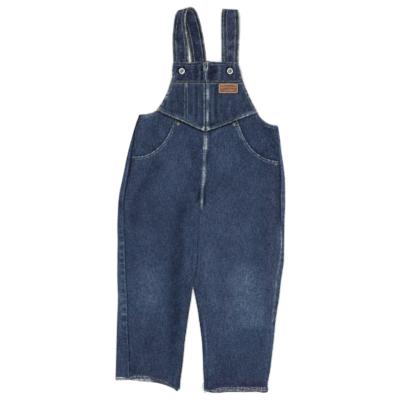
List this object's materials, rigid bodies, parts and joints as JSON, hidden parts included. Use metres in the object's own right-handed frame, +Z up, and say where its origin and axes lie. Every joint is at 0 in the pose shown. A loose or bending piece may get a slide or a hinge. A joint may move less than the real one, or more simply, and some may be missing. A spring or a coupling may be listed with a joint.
{
  "type": "kids dungarees",
  "caption": "Child's denim dungarees laid flat, with a zip front, banded bib, turned-over straps with ring buttons and raw cropped legs.",
  "frame": {"origin": "middle of the laid-out garment's outline, on the surface it lies on", "axes": "+Y from the hems to the straps, +X to the wearer's left, +Z up out of the front of the cloth"},
  "size_m": [0.356, 0.8084, 0.0163],
  "materials": {
    "denim": "indigo twill, faded at the knees",
    "denim_double": "indigo twill, two layers",
    "zip_tape": "woven navy tape",
    "nickel": "worn nickel plate",
    "aged_brass": "dull aged brass",
    "leather": "tan, matt"
  },
  "bodies": {
    "garment": {"back_leg_right": "denim", "back_leg_left": "denim", "back_bib": "denim", "hip_right": "denim", "hip_left": "denim", "front_leg_right": "denim", "front_leg_left": "denim", "bib_right": "denim", "bib_left": "denim", "band_right": "denim_double", "band_left": "denim_double", "strap_right": "denim_double", "strap_left": "denim_double", "zip_tape_right": "zip_tape", "zip_tape_left": "zip_tape", "zip_chain": "nickel", "zip_stop": "nickel", "zip_slider": "nickel", "button_right": "nickel", "button_left": "nickel", "rivet_right_top": "aged_brass", "rivet_left_top": "aged_brass", "rivet_right_side": "aged_brass", "rivet_left_side": "aged_brass", "label": "leather"},
    "pull_tab": {"zip_pull_tab": "nickel"}
  },
  "joints": [
    {"name": "pull_tab_swing", "type": "hinge", "parent": "garment", "child": "pull_tab", "pos_m": [0.0091, 0.2841, 0.0098], "axis": [-1, 0, 0], "range_deg": [0, 170]}
  ]
}
